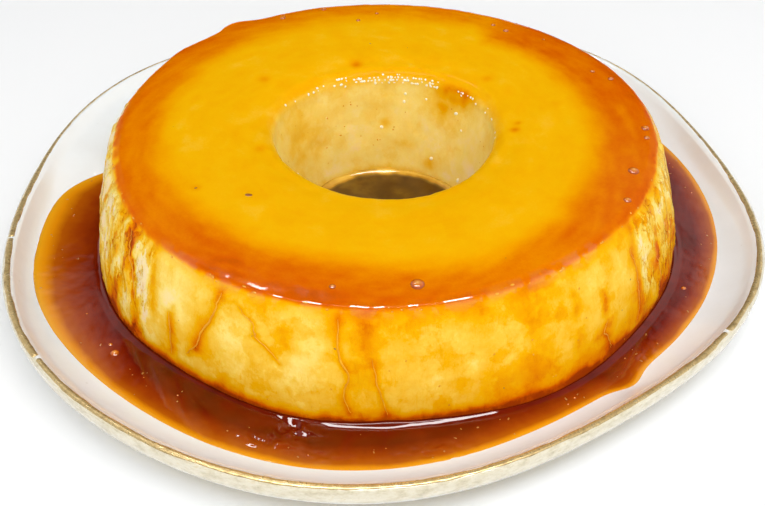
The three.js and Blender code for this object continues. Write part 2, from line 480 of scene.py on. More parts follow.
def glaze_material():
    """Glazed stoneware: white inside, mottled cream on the outer wall and ochre low down on it."""
    made = Shading("plate_glaze", IOR=1.5, Coat_Weight=0.4, Coat_Roughness=0.06)
    cloud = made.noise(14, detail=4)
    inside = made.ramp(cloud, [(0.3, "F4FAFE"), (0.7, "F1F6F9")])
    streaks = made.noise(4.5, detail=6, stretch=(1, 1, 0.6), roughness=0.7)
    outside = made.ramp(streaks, [(0.3, "B9AD8E"), (0.44, "D6CBAE"), (0.58, "E2DAC4"), (0.75, "D2BE8A")])
    lower = made.ramp(streaks, [(0.3, "A8925A"), (0.5, "C2AF78"), (0.7, "D4C696")])
    rise = made.plus(made.field("height"), made.times(made.noise(8), 6))
    outside = made.blend(made.ranged(rise, 10.5, 17.5, 0, 1), lower, outside)
    colour = made.blend(made.field("outer"), inside, outside)
    dots = made.ranged(made.cells(5.5), 0.05, 0.09, 1, 0)
    dots = made.times(dots, made.ranged(made.noise(9, detail=1), 0.52, 0.6, 0, 0.7))
    dots = made.times(dots, made.ranged(made.field("outer"), 0, 1, 0.25, 1))
    colour = made.blend(dots, colour, linear("8E8C74"))
    made.bump(made.noise(6, detail=3), 0.12)
    return made.drive(Base_Color=colour, Roughness=made.ranged(made.noise(3), 0.3, 0.7, 0.12, 0.26))


def band_material():
    """Worn brass-coloured lustre."""
    made = Shading("lip_lustre", Metallic=0.6)
    wear = made.noise(2.6, detail=5, roughness=0.7)
    colour = made.ramp(wear, [(0.3, "8A744C"), (0.42, "B59A66"), (0.6, "D6BB84"), (0.8, "F0DEB4")])
    made.bump(wear, 0.12)
    return made.drive(Base_Color=colour, Roughness=made.ranged(wear, 0.3, 0.7, 0.42, 0.22))


def two_tone(name, size, dark, light, **values):
    """A material that wanders between two colours, in patches about size across."""
    made = Shading(name, **values)
    return made.drive(Base_Color=made.ramp(made.noise(size), [(0.3, dark), (0.7, light)]))


def thread_material():
    """Thin runs of caramel dried on the custard."""
    return two_tone("caramel_thread", 3, "DE9008", "F0AC1C", Roughness=0.4, IOR=1.36)


def bead_material():
    """Clear drops of thin caramel."""
    return two_tone("caramel_bead", 2, "E08A10", "F0B030", Roughness=0.04, IOR=1.6)


# Near-white beads whose colour is a painted highlight, standing in for glints on wet drops.
def painted_glint_material():
    return two_tone("pale_painted_glints", 1, "FFF0B8", "FFFBEA", Roughness=0.1, IOR=1.6)


def crumb_material():
    """Crumbs of custard in the caramel."""
    values = {"Roughness": 0.3, "Subsurface_Weight": 0.2, "Subsurface_Scale": 0.001}
    return two_tone("custard_crumb", 1.5, "9A5A1E", "C08A3C", **values)


def speck_material():
    return two_tone("burnt_speck", 0.6, "7A3A0C", "A8661C", Roughness=0.4)


def bubble_painted_light_material():
    """Bubbles under a skin of caramel, with a pale middle as a painted highlight and darker towards their
    rims as painted shade.
    """
    made = Shading("caramel_bubble_painted_light", Roughness=0.04, IOR=1.6)
    # Colours by the share of the way out from the middle: a painted highlight in the middle, painted shade at
    # the rim.
    stops = [(0.0, "F2B868"), (0.35, "DC8430"), (0.7, "C05A10"), (0.95, "A04808")]
    return made.drive(Base_Color=made.ramp(made.field("depth"), stops))


# ---- Plate ----


def arc(centre_radius, centre_height, start, end, steps, width, height=None):
    """Radius and height along an elliptical arc, in degrees counted from outwards towards up."""
    turn = np.radians(np.linspace(start, end, steps))
    return centre_radius[:, None] + width * np.cos(turn), centre_height + (height or width) * np.sin(turn)


def joined(azimuth, *stretches):
    """One section from stretches of radius and height, and the number of the stretch at each column."""
    rows = len(azimuth)
    widths = [np.shape(radius)[-1] for radius, _ in stretches]
    radii = [np.broadcast_to(radius, (rows, width)) for (radius, _), width in zip(stretches, widths)]
    heights = [np.broadcast_to(height, (rows, width)) for (_, height), width in zip(stretches, widths)]
    return np.hstack(radii), np.hstack(heights), np.repeat(range(len(stretches)), widths)


def plate_sections(azimuth):
    rim = rim_radius(azimuth)
    lip_height = RIM_TOP - LIP
    foot = (FOOT_RADIUS + plate_shift(azimuth))[:, None]
    inner = (rim + LIP * math.cos(math.radians(LIP_INSIDE)))[:, None]
    slope = mix(inner, waterline(azimuth)[:, None], np.linspace(0.04, 1, 22))
    shore = mix(waterline(azimuth)[:, None], FLAT_RADIUS, np.linspace(0.06, 1, 16))
    inside = np.hstack([slope, shore])
    under = (np.array([0.5, 20, 45, 68]), np.full(4, FOOT_RECESS))
    ring = (
        foot + np.array([-FOOT_WIDTH - 1, -FOOT_WIDTH - 0.3, -FOOT_WIDTH + 0.2, -0.4, 0.1, 0.9, 2]),
        np.array([FOOT_RECESS, 0.35, 0.05, 0.05, 0.3, 1.8, UNDERSIDE - 0.4]),
    )
    curl = arc(rim + WALL_BULGE - WALL_CURL, lip_height, -80, 2, 22, WALL_CURL, lip_height - UNDERSIDE)
    lip = arc(rim, lip_height, *LIP_ARC, 14, LIP)
    middle = (np.array([100, 60, 20, 0.5]), np.full(4, FLOOR))
    rows = azimuth[:, None]
    gap = lip_height + LIP * math.sin(math.radians(LIP_INSIDE)) - plate_height(rows, inner)
    height = plate_height(rows, inside) + gap * np.clip(1 - (inner - inside) / FILLET, 0, 1) ** 2
    return joined(azimuth, under, ring, curl, lip, (inside, height), middle)


def plate_piece():
    azimuth = azimuths(PLATE_STEPS)
    radius, height, _ = plate_sections(azimuth)
    radius, height = radius[:, ::-1], height[:, ::-1]
    places = spun(radius, height, azimuth)
    rim = rim_radius(azimuth)[:, None]
    upper = (height > UNDERSIDE + 1) & (radius > rim - 25)
    hand = rough(places, 18, 3) * 0.25 * ease(radius, rim - 14, rim - 4) * upper
    wall = rough(places, 5, 9, stretch=(1, 1, 0.7)) * 0.18 * ease(radius, rim - 1, rim + 1)
    places = places - normals_of(places) * (np.abs(hand + wall))[..., None]
    outer = np.clip(ease(radius, rim - 0.6, rim + 0.8) + (height < FLOOR - 1), 0, 1)
    piece = disc_piece("plate_glazed", places, glaze_material(), {"outer": outer, "height": height})
    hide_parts("plate")


# Chips in the lip's band: azimuth, width.
CHIPS = [(-171, 0.2), (-143, 0.25), (-33, 0.3), (48, 0.3), (112, 0.3)]


def band_piece():
    """The lustre on the crest of the lip: a thin strip, worn uneven and chipped in a few places."""
    azimuth = azimuths(BAND_STEPS)
    whole = np.ones_like(azimuth)
    for centre, width in CHIPS:
        whole *= 1 - peak(apart(azimuth, centre), width, power=4)
    ring = spun(np.full((BAND_STEPS, 1), 140.0), 0.0, azimuth)[:, 0]
    back = ease(np.sin(np.radians(azimuth)), 0.0, 0.5)
    start = np.maximum(62 - 12 * back - 14 * rough(ring, 9, 21), LIP_ARC[0] + 4)
    end = 124 - 38 * back + 16 * rough(ring + 500, 7, 22)
    half = (end - start) / 2 * whole
    there = np.linspace(-1, 1, 8)
    across = np.concatenate([there, there[::-1]])
    lift = np.repeat([0.12, -0.25], len(there))
    lift[[0, len(there) - 1]] = -0.05
    turn = np.radians((start + end)[:, None] / 2 + half[:, None] * across)
    thickness = LIP + lift * whole[:, None] - 0.3 * (1 - whole[:, None])
    radius = rim_radius(azimuth)[:, None] + thickness * np.cos(turn)
    height = RIM_TOP - LIP + thickness * np.sin(turn)
    piece = ring_piece("lip_lustre_band", spun(radius, height, azimuth)[:, ::-1], band_material(), {})


# ---- Pudding ----

# Where the top changes from gold to its dark band, and the band's stain: azimuth, radius, stain.
TOP_BAND = [
    (-180, 82, 0.74), (-150, 83, 0.72), (-135, 82, 0.76), (-120, 82, 0.8), (-105, 83, 0.82),
    (-90, 84, 0.76), (-60, 84, 0.71), (-45, 81, 0.75), (-30, 77.5, 0.78), (-5, 77, 0.78),
    (20, 76.5, 0.8), (45, 78, 0.8), (56, 74, 0.76), (63, 83, 0.66), (80, 84, 0.66), (105, 84, 0.68),
    (135, 83, 0.71),
]

# Runs of caramel down the side: azimuth at the top, drift by the foot, width, top, bottom, strength.
RUNS = [
    (-172, 4, 5, 0.8, 0.3, 0.2), (-152, 2, 2.5, 0.95, 0.0, 0.28), (-146, 4, 1.3, 1.0, 0.4, 0.24),
    (-142, 1, 2.2, 0.42, 0.0, 0.3), (-137, 1, 1.6, 1.0, 0.45, 0.26),
    (-130, -1, 0.9, 0.6, 0.15, 0.2), (-123, -5, 1.8, 0.72, 0.3, 0.22),
    (-107, 0, 2.2, 0.9, 0.6, 0.16), (-94.5, 0.5, 3.0, 1.0, 0.0, 0.08),
    (-93.5, 1, 2.4, 0.97, 0.6, 0.2), (-72, 0, 6, 1.0, 0.55, 0.1), (-63, 0, 3.2, 1.0, 0.0, 0.1),
    (-54.5, 1, 1.3, 0.72, 0.62, 0.36), (-47.5, 1, 1.0, 0.66, 0.42, 0.3),
    (-36, 1, 1.6, 0.95, 0.1, 0.18), (-27, 2, 1.5, 0.9, 0.1, 0.2), (-17, 3, 4, 0.7, 0.0, 0.14),
    (-7, 3, 3, 0.9, 0.2, 0.18), (14, 2, 4, 1.0, 0.1, 0.24), (33, -2, 2, 0.9, 0.3, 0.28),
    (52, 1, 5, 1.0, 0.4, 0.16), (71, 2, 2, 1.0, 0.0, 0.26), (94, -3, 1.6, 0.8, 0.2, 0.3),
    (112, 1, 4.5, 1.0, 0.5, 0.18), (133, 2, 2, 1.0, 0.1, 0.3), (151, -2, 3, 0.9, 0.3, 0.2),
    (167, 2, 2, 1.0, 0.0, 0.26),
]

# Stain of the side: azimuth, upper part, lower part, and how much bleeds down from the top edge.
SIDE_TONE = [
    (-180, 0.13, 0.2, 0.06), (-160, 0.17, 0.22, 0.18), (-140, 0.18, 0.28, 0.24),
    (-120, 0.22, 0.29, 0.28), (-90, 0.26, 0.31, 0.3), (-70, 0.29, 0.46, 0.28),
    (-50, 0.33, 0.52, 0.24), (-36, 0.33, 0.46, 0.2), (-15, 0.35, 0.44, 0.16), (0, 0.3, 0.4, 0.16),
    (60, 0.24, 0.34, 0.2), (120, 0.2, 0.28, 0.16),
]

# Stretches of the side that were torn as the pudding left its mould: azimuth, half width.
TORN = [(-169, 33), (-19, 17), (84, 12), (141, 8)]

# Stretches of the top edge that are wet with thin caramel: azimuth, half width.
WETTED = [(-90, 50), (63, 40)]


def pudding_sections(azimuth):
    """Radius, height and labels, from the hole's foot over the top and down to the underside."""
    rows = azimuth[:, None]
    throat = hole_radius(azimuth, 1) + HOLE_ROUNDING  # where the hole's rounded edge meets the top
    lip_height = float(top_height(53)) - HOLE_ROUNDING - 1
    wall = np.linspace(0, 0.97, 34)
    hole = (hole_radius(rows, wall), mix(LEVEL, lip_height, wall))
    edge = arc(throat, lip_height, 178, 96, 9, HOLE_ROUNDING)
    shoulder_radius = side_radius(azimuth, 1) - EDGE_ROUNDING
    top_radius = mix(throat[:, None] + 1, shoulder_radius[:, None], np.linspace(0, 0.985, 50))
    dip = 0.72 * peak(top_radius - throat[:, None], 4.5)
    top = (top_radius, top_height(top_radius) - dip)
    shoulder = arc(shoulder_radius, EDGE_HEIGHT - EDGE_ROUNDING, 82, 10, 9, EDGE_ROUNDING)
    share = np.linspace(0.915, 0, 38)
    side = (side_radius(rows, share), mix(LEVEL, EDGE_HEIGHT, share))
    foot = base_radius(rows)
    under = (
        np.hstack([foot - 0.7, foot - 1.6, np.full_like(foot, 70), np.full_like(foot, HOLE_BASE_RADIUS)]),
        np.array([LEVEL - 1.5, FLOOR + GAP, FLOOR + GAP, FLOOR + GAP]),
    )
    return joined(azimuth, hole, edge, top, shoulder, side, under)


def torn_share(azimuth):
    """How torn the side is at an azimuth."""
    return np.clip(within(TORN, azimuth, 3), 0, 1)


def slanted(places, azimuth, slant):
    """Noise places whose features lie along the side, leaning by slant degrees for each millimetre up."""
    lean = np.radians(azimuth - places[..., 2] * slant)
    return np.stack([106 * np.cos(lean), 106 * np.sin(lean), places[..., 2] * 0.14], axis=-1)


def pudding_relief(places, radius, rows):
    """How far the surface stands out from its smooth form."""
    height = places[..., 2]
    clear_of_foot = ease(height, LEVEL, LEVEL + 5)
    outside = (radius > CROWN_RADIUS) * clear_of_foot
    lumps = 0.35 * rough(places, 17, 40) + 0.15 * rough(places, 4.5, 41, stretch=(1, 1, 1.6))
    fibres = np.abs(rough(slanted(places, rows, 0.25), 3.2, 42, octaves=3))
    flakes = ease(rough(slanted(places, rows, -0.15), 8, 43), 0.05, 0.25)
    side = outside * ease(height, EDGE_HEIGHT, EDGE_HEIGHT - 4)
    relief = side * (lumps + torn_share(rows) * (0.9 * fibres - 0.35 + 0.45 * flakes))
    shoulder = outside * ease(height, EDGE_HEIGHT - 6, EDGE_HEIGHT - 2)
    shoulder = shoulder * ease(radius, EDGE_RADIUS - 9, EDGE_RADIUS - 3)
    relief += shoulder * (0.16 * rough(places, 7, 44, octaves=2) + 0.13 * rough(places, 3, 45, octaves=2))
    top = ease(height, EDGE_HEIGHT - 1.5, EDGE_HEIGHT) * ease(radius, 46, 52) * ease(radius, 97, 92)
    relief += top * (0.12 * rough(places, 22, 46) + 0.04 * rough(places, 5, 47))
    hole = (radius < 50) * clear_of_foot * ease(radius, 50, 44)
    return relief + hole * (0.4 * rough(places, 9, 48) + 0.15 * rough(places, 3, 49))


def top_stain(places, radius, rows):
    """Golden in the middle, and a dark band towards the edge."""
    wander = rows + 5 * rough(places, 26, 60)
    knots = np.array(TOP_BAND)
    start, depth = (np.interp(wander, knots[:, 0], knots[:, i], period=360) for i in (1, 2))
    share = ease(radius + 2.2 * rough(places, 14, 61) - start, -8.5, 8.5)
    stain = 0.43 + (depth - 0.43) * share + 0.05 * ease(radius, 93, 98)
    arcs = rough(ring_points(rows, radius, radius), 3.4, 62, octaves=3)
    stain += 0.07 * arcs * ease(share, 0.2, 0.8)
    stain += 0.035 * rough(places, 11, 63) + 0.03 * rough(ring_points(rows, radius * 2, radius), 5, 64)
    return stain - 0.03 * ease(radius, 58, 47) * rough(places, 5, 65)


# Small marks on the top: azimuth, radius, size, strength.
MARKS = [
    (104, 47, 2.4, 0.3), (145, 57, 2.2, 0.16), (-162, 47, 2.4, 0.14), (-3, 47.5, 1.8, 0.28),
    (2, 49, 1.3, 0.2), (40, 52, 2.0, 0.16), (-148, 76, 1.6, 0.14), (12, 66, 2.5, 0.08),
]


def mark_stain(places):
    total = 0
    for azimuth, radius, size, strength in MARKS:
        turn = math.radians(azimuth)
        away = np.hypot(places[..., 0] - radius * math.cos(turn), places[..., 1] - radius * math.sin(turn))
        total = total + strength * peak(away, size)
    return total


def run_stain(places, rows, share):
    """Stain of the broad runs down the side."""
    wobble = 1.2 * rough(places, 12, 73)
    ragged = share + 0.12 * rough(places, 8, 74)
    total = 0
    for azimuth, drift, width, top, bottom, strength in RUNS:
        centre = azimuth + drift * (top - share) + wobble
        along = ease(ragged, bottom - 0.08, bottom + 0.08) * ease(ragged, top + 0.08, top - 0.04)
        total = total + strength * along * peak(apart(rows, centre), width)
    return total


def side_stain(places, rows):
    share = share_up(places[..., 2])
    knots = np.array(SIDE_TONE)
    upper, lower, edge = (np.interp(rows, knots[:, 0], knots[:, i], period=360) for i in (1, 2, 3))
    stain = mix(lower, upper, ease(share, 0.25, 0.6))
    stain += 0.1 * rough(places, 19, 70) + 0.05 * rough(places, 7, 71, stretch=(1, 1, 0.6))
    fibres = rough(slanted(places, rows, 0.25), 4.5, 72)
    stain += torn_share(rows) * (0.2 * ease(fibres, 0.1, 0.5) + 0.08 * fibres)
    stain += run_stain(places, rows, share) + thread_stain(rows, share)
    bleed = np.maximum(0.13 + 0.09 * rough(places, 16, 75), 0.03)
    stain += edge * peak(np.maximum(1 - share, 0), bleed, power=1.5)
    above_foot = np.maximum(share, 0)
    steeped = np.maximum(0.075 + 0.05 * rough(places, 6, 77), 0.012)
    soaked = np.maximum(0.12 + 0.06 * rough(places, 20, 76), 0.03)
    return stain + 0.65 * peak(above_foot, steeped) + 0.22 * peak(above_foot, soaked, power=1.5)


# Stains on the hole's wall: azimuth, share of the way up, width in degrees, height as a share, strength.
HOLE_SPOTS = [
    (47, 0.9, 10, 0.14, 0.44), (58, 0.15, 6, 0.08, 0.3), (90, 0.5, 4, 0.05, 0.16),
    (150, 0.5, 14, 0.3, 0.14), (56, 0.72, 4, 0.13, 0.24), (105, 0.94, 7, 0.06, 0.16),
    (78, 0.3, 8, 0.05, 0.12), (-20, 0.8, 12, 0.15, 0.2), (-100, 0.6, 9, 0.25, 0.2),
    (-140, 0.9, 8, 0.1, 0.2), (20, 0.3, 8, 0.1, -0.1),
]


def hole_stain_and_painted_light(places, rows):
    share = share_up(places[..., 2])
    # Paler than the side, and palest low on the wall: partly the wall's own paler custard, partly painted
    # light that makes up for the shade in the hole.
    stain = mix(0.12, 0.17, np.clip(share, 0, 1))
    stain += 0.08 * rough(places, 9, 80, stretch=(1, 1, 1.6)) + 0.03 * rough(places, 3.5, 81)
    blotch = 1 + 0.8 * rough(places, 4, 82)
    for azimuth, level, across, up, strength in HOLE_SPOTS:
        stain += strength * blotch * peak(apart(rows, azimuth), across) * peak(share - level, up)
    return stain + 0.12 * ease(share, 0.84, 0.95) + 0.16 * ease(share, 0.1, 0)


def pudding_stain_and_painted_light(places, radius, label, rows):
    """How much caramel has soaked in, from 0 to 1, everywhere on the pudding; on the hole's wall it is also
    kept low as painted light.
    """
    top = top_stain(places, radius, rows) + mark_stain(places)
    height = places[..., 2]
    ragged = height + (0.5 + 1.1 * torn_share(rows)) * rough(places, 5, 66)
    outside = mix(side_stain(places, rows), top, ease(ragged, EDGE_HEIGHT - 1.7, EDGE_HEIGHT - 0.2))
    inside = mix(hole_stain_and_painted_light(places, rows), top, ease(height, EDGE_HEIGHT - 3.6, EDGE_HEIGHT - 1.2))
    stain = np.where(label <= HOLE_EDGE, inside, np.where(label == TOP, top, outside))
    return np.clip(stain, 0, 1)


def pudding_fields(places, radius, label, rows):
    """What the custard's material follows, at every point."""
    below_top = ease(places[..., 2], EDGE_HEIGHT - 0.5, EDGE_HEIGHT - 4)
    outside = radius > CROWN_RADIUS
    torn = torn_share(rows) * below_top * outside
    edge = side_radius(rows, 1)
    shoulder = (1 - below_top) * ease(radius, edge - 3.4, edge - 2.2)
    above_foot = ease(places[..., 2], LEVEL + 6, LEVEL + 18)
    return {
        "stain": pudding_stain_and_painted_light(places, radius, label, rows),
        "texture": 0.13 + below_top * np.where(outside, 0.55, 0.2) + 0.4 * torn,
        "torn": 0.12 * below_top * outside + 0.85 * torn * (0.3 + 0.7 * above_foot),
        "glazed": shoulder * within(WETTED, rows, 12),
    }


def pudding_piece():
    azimuth = azimuths(RING_STEPS)
    radius, height, label = pudding_sections(azimuth)
    rows = np.broadcast_to(azimuth[:, None], radius.shape)
    smooth = spun(radius, height, azimuth)
    places = smooth + normals_of(smooth) * pudding_relief(smooth, radius, rows)[..., None]
    places[..., 2] = np.minimum(places[..., 2], CREST + INSET / 2)
    fields = pudding_fields(places, radius, label, rows)
    piece = ring_piece("pudding_custard", places, custard_material(), fields)
    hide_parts("pudding")
    return {"places": places, "normals": normals_of(places), "label": label, "radius": radius}


# ---- Caramel ----

# Where the caramel's surface is puckered: azimuth, spread, radius, reach, depth.
RIPPLES = [
    (-104.5, 3.4, 115, 3.6, 2.4), (-107, 5, 121.5, 3, 0.9), (-98, 3, 124, 2, 0.6),
    (-83, 5, 121.5, 3, 0.9), (-41, 1.5, 117, 2, 0.2), (-16, 4, 120, 3, 0.1), (150, 7, 118, 4, 0.15),
]


def pool_height(radius, start, shore, rows):
    """Height of the caramel round the pudding, which climbs the side a little and dips at its shore."""
    out = radius - start
    level = spun(radius, 0.0, rows[:, 0])
    grip = 0.4 + bumps([(-90, 19, 0.6), (40, 25, 0.5), (135, 20, 0.5)], rows)
    climb = MENISCUS_RISE * grip * (1 + 0.3 * rough(level, 7, 91))
    climb = climb * np.clip(1 - out / MENISCUS_RUN, 0, 1) ** 2
    swellings = 0.035 * rough(level, 7, 92) + 0.0175 * rough(level, 2.6, 93)
    calm = ease(out, 1.5, 4) * ease(shore - radius, 0.5, 3)
    height = LEVEL + climb + swellings * calm
    ripples = rough(level, 2.6, 97, octaves=2)
    for azimuth, spread, middle, reach, depth in RIPPLES:
        height += depth * ripples * peak(apart(rows, azimuth), spread) * peak(radius - middle, reach)
    return height - 0.05 * ease(radius, shore - 1.6, shore)


def pool_piece():
    """The caramel round the pudding, from its side to the shore, and back underneath."""
    azimuth = azimuths(POOL_STEPS)
    rows = azimuth[:, None]
    start = side_radius(rows, 0) + 0.05
    ring = spun(np.full((POOL_STEPS, 1), 125.0), 0.0, azimuth)
    shore = waterline(rows) + 0.3 + 0.5 * rough(ring, 9, 90)
    surface = mix(start, shore, np.linspace(0, 1, POOL_COLUMNS) ** 0.9)
    bed = mix(shore, start, np.linspace(0.02, 1, 10))
    bed_height = np.minimum(plate_height(rows, bed) - 0.15, LEVEL - 0.3)
    height = np.hstack([pool_height(surface, start, shore, rows), bed_height])
    radius = np.hstack([surface, bed])
    places = spun(radius, height, azimuth)
    span = 13 + bumps([(-180, 32, 24), (-25, 40, -3)], rows)  # how far in from the shore the colour deepens
    depth = np.clip((shore - surface) / span, 0, 0.86)
    depth = np.hstack([depth, np.full_like(bed, 0.86)]) * (1 + 0.12 * rough(places, 12, 94))
    material = caramel_material("caramel", CARAMEL_COLOURS, 0.02)
    piece = ring_piece("caramel_pool_wet", places, material, {"depth": depth})
    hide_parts("caramel_pool")
    return places[:, :POOL_COLUMNS]


# From the rim of the caramel in the hole to its middle: darker and more olive than the caramel round the
# pudding, as painted shade of the hole.
CENTRE_SHADED_COLOURS = [(0.0, "F0C452"), (0.2, "C4902C"), (0.4, "80601E"), (0.65, "5E3F14"), (1.0, "452408")]


def centre_pool_piece():
    """The caramel in the hole, which climbs the hole's wall a little."""
    azimuth = azimuths(CENTRE_STEPS)
    wall = np.full((CENTRE_STEPS, 1), HOLE_BASE_RADIUS - 0.05)
    surface = mix(0.5, wall, np.linspace(0, 1, CENTRE_COLUMNS) ** 0.75)
    bed = mix(wall, 0.5, np.linspace(0.02, 1, 6))
    out = wall - surface
    level = spun(surface, 0.0, azimuth)
    climb = MENISCUS_RISE * (1 + 0.5 * rough(level, 9, 99)) * np.clip(1 - out / MENISCUS_RUN, 0, 1) ** 2
    height = LEVEL + climb + 0.1 * rough(level, 6, 95) * ease(out, 1, 3)
    height = np.hstack([height, np.full_like(bed, FLOOR + 0.1)])
    radius = np.hstack([surface, bed])
    places = spun(radius, height, azimuth)
    inward = wall - radius + 1.2 * rough(places, 7, 98)
    depth = mix(0.05, 0.68, ease(inward, 1.0, 3.6)) + 0.4 * rough(places, 8, 96, octaves=4)
    # The caramel in the hole gets the darker colours: painted shade.
    material = caramel_material("caramel_in_hole_shaded", CENTRE_SHADED_COLOURS, 0.03)
    piece = disc_piece("caramel_centre_wet", places, material, {"depth": np.clip(depth, 0, 1)})
    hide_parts("caramel_centre_pool")


# ---- Small things ----


def dome(radius, height, rings=6, around=14):
    """Points and faces of a low closed dome about the origin, its top towards +Z."""
    turn = 0.62 * math.pi * np.arange(1, rings + 1)[:, None] / rings
    angle = 2 * math.pi * np.arange(around) / around
    across = radius * np.sin(turn)
    up = np.broadcast_to(height * np.cos(turn), (rings, around))
    skin = np.stack([across * np.cos(angle), across * np.sin(angle), up], axis=-1)
    points = np.vstack([[(0, 0, height)], skin.reshape(-1, 3), [(0, 0, -height * 0.5)]])
    index = 1 + np.arange(rings * around).reshape(rings, around)
    after = np.roll(index, -1, axis=1)
    faces = [(0, here, there) for here, there in zip(index[0].tolist(), after[0].tolist())]
    quads = np.stack([index[:-1], index[1:], after[1:], after[:-1]], axis=-1)
    faces += [tuple(quad) for quad in quads.reshape(-1, 4).tolist()]
    foot = len(points) - 1
    faces += [(there, here, foot) for here, there in zip(index[-1].tolist(), after[-1].tolist())]
    return points, faces


def facing(normal, spin):
    """Rotation that turns +Z to normal, after a spin about +Z."""
    turn = Vector((0, 0, 1)).rotation_difference(Vector(normal)).to_matrix()
    return np.array(turn @ Matrix.Rotation(spin, 3, "Z"))


def spot(place, normal, size, flat=0.5, stretch=1.0, spin=0.0, sink=0.1):
    """A dome on a surface. Flat is its height, and sink how deep it sits, as shares of its radius."""
    return place - np.array(normal) * size * sink, normal, size, size * flat, stretch, spin


def scattered_piece(name, spots, material):
    """One mesh of many domes, kept under the top of the solids' box."""
    points, faces, rim_shares = [], [], []
    count = 0
    for place, normal, radius, height, stretch, spin in spots:
        shape, quads = dome(radius, height)
        # Share of the way out from each dome's middle; the bubbles' material paints a highlight in the middle
        # and shade at the rim from it.
        rim_shares.append(np.clip(np.hypot(shape[:, 0], shape[:, 1]) / radius, 0, 1))
        shape = (shape * (stretch, 1, 1)) @ facing(normal, spin).T + place
        shape[:, 2] = np.minimum(shape[:, 2], CREST + INSET * 0.8)
        points.append(shape)
        faces += [tuple(i + count for i in quad) for quad in quads]
        count += len(shape)
    piece = finish_mesh(name, np.vstack(points), faces, material, {"depth": np.concatenate(rim_shares)})


def row_at(azimuth, steps):
    return int(round(azimuth / 360 * steps)) % steps


def on_pudding(surface, azimuth, label, share):
    """Place and normal on the pudding, at a share of the way along the columns of one label."""
    row = row_at(azimuth, RING_STEPS)
    columns = np.flatnonzero(surface["label"] == label)
    column = columns[int(round(share * (len(columns) - 1)))]
    return surface["places"][row, column], surface["normals"][row, column]


def on_top(surface, azimuth, radius):
    """Place and normal on the pudding's top."""
    row = row_at(azimuth, RING_STEPS)
    columns = np.flatnonzero(surface["label"] == TOP)
    column = columns[np.argmin(np.abs(surface["radius"][row, columns] - radius))]
    return surface["places"][row, column], surface["normals"][row, column]


def on_pool(pool, azimuth, share):
    """Place on the caramel round the pudding, at a share of the way out to its shore."""
    return pool[row_at(azimuth, POOL_STEPS), int(round(share * (POOL_COLUMNS - 1)))]


# Bubbles that stand out on the top: azimuth, radius, size.
TOP_BUBBLES = [
    (-1, 95.3, 1.5), (-5, 94.5, 1.1), (-19, 91.3, 2.0), (-30, 93.7, 1.4), (-84, 91.4, 2.3),
    (-100, 93.5, 1.1), (98, 81.7, 0.9),
]
# On the pool: azimuth, share of the way out, size. Painted glints on the hole's wall: azimuth, share of the
# way up.
POOL_BUBBLES = [(-141, 0.42, 1.6), (-143, 0.36, 0.8), (-21, 0.35, 1.0)]
HOLE_GLINTS = [(78, 0.93), (79, 0.86), (92, 0.55), (58, 0.25), (33, 0.15), (46, 0.84), (66, 0.9), (40, 0.7)]
# Specks on the top: azimuth, radius, size.
DARK_SPECKS = [(-136, 63.8, 0.9), (98, 81.7, 0.7), (-148, 76, 0.5)]
UP = (0, 0, 1)


def top_bubbles(surface, chance):
    """Bubbles under the caramel near the top's outer edge."""
    shown = TOP_BUBBLES.copy()
    for _ in range(9):
        shown.append((chance.uniform(20, 175), chance.uniform(84, 96), chance.uniform(0.6, 1.3)))
    spots = [spot(*on_top(surface, azimuth, radius), size, flat=0.55) for azimuth, radius, size in shown]
    scattered_piece("top_bubbles", spots, bubble_painted_light_material())


def edge_beads(surface, chance):
    """Beads of thin caramel, drawn out along the top edge."""
    spots = []
    for _ in range(70):
        place, normal = on_pudding(surface, chance.uniform(0, 360), TOP_EDGE, chance.uniform(0.3, 0.8))
        size = chance.uniform(0.2, 0.42)
        along = math.atan2(place[1], place[0]) + math.pi / 2
        spots.append(spot(place, normal, size, stretch=chance.uniform(1.0, 2.6), spin=along, sink=0.15))
    scattered_piece("edge_beads", spots, bead_material())


def hole_painted_glints(surface, chance):
    """Tiny near-white beads along the hole's edge and on its wall: painted highlights standing in for glints
    on wet drops.
    """
    spots = []
    for azimuth, share in HOLE_GLINTS:
        place = on_pudding(surface, azimuth, HOLE_WALL, share)
        size = chance.uniform(0.45, 0.75)
        spots.append(spot(*place, size, stretch=chance.uniform(1, 1.5), spin=chance.uniform(0, 3)))
    for _ in range(120):
        azimuth = chance.normal(88, 26) if chance.random() < 0.75 else chance.uniform(0, 360)
        place = on_pudding(surface, azimuth % 360, HOLE_EDGE, chance.uniform(0.1, 0.45))
        size = chance.uniform(0.2, 0.5)
        spots.append(spot(*place, size, stretch=chance.uniform(1, 1.5), spin=chance.uniform(0, 3)))
    scattered_piece("hole_painted_glints", spots, painted_glint_material())


def side_beads(surface, chance):
    """Fine wet beads on the side and on the hole's wall."""
    spots = []
    for _ in range(120):
        label = chance.choice([SIDE, HOLE_WALL])
        place = on_pudding(surface, chance.uniform(0, 360), label, chance.beta(2, 1.3) * 0.97)
        size = chance.uniform(0.15, 0.35)
        spots.append(spot(*place, size, 0.45, chance.uniform(1, 1.8), chance.uniform(0, 3), sink=0.2))
    scattered_piece("side_beads", spots, bead_material())


def pool_bubbles(pool, chance):
    shown = POOL_BUBBLES.copy()
    for _ in range(26):
        shown.append((chance.uniform(0, 360), chance.uniform(0.2, 0.85), chance.uniform(0.2, 0.5)))
    spots = [spot(on_pool(pool, azimuth, share), UP, size, flat=0.4) for azimuth, share, size in shown]
    scattered_piece("pool_bubbles", spots, bubble_painted_light_material())


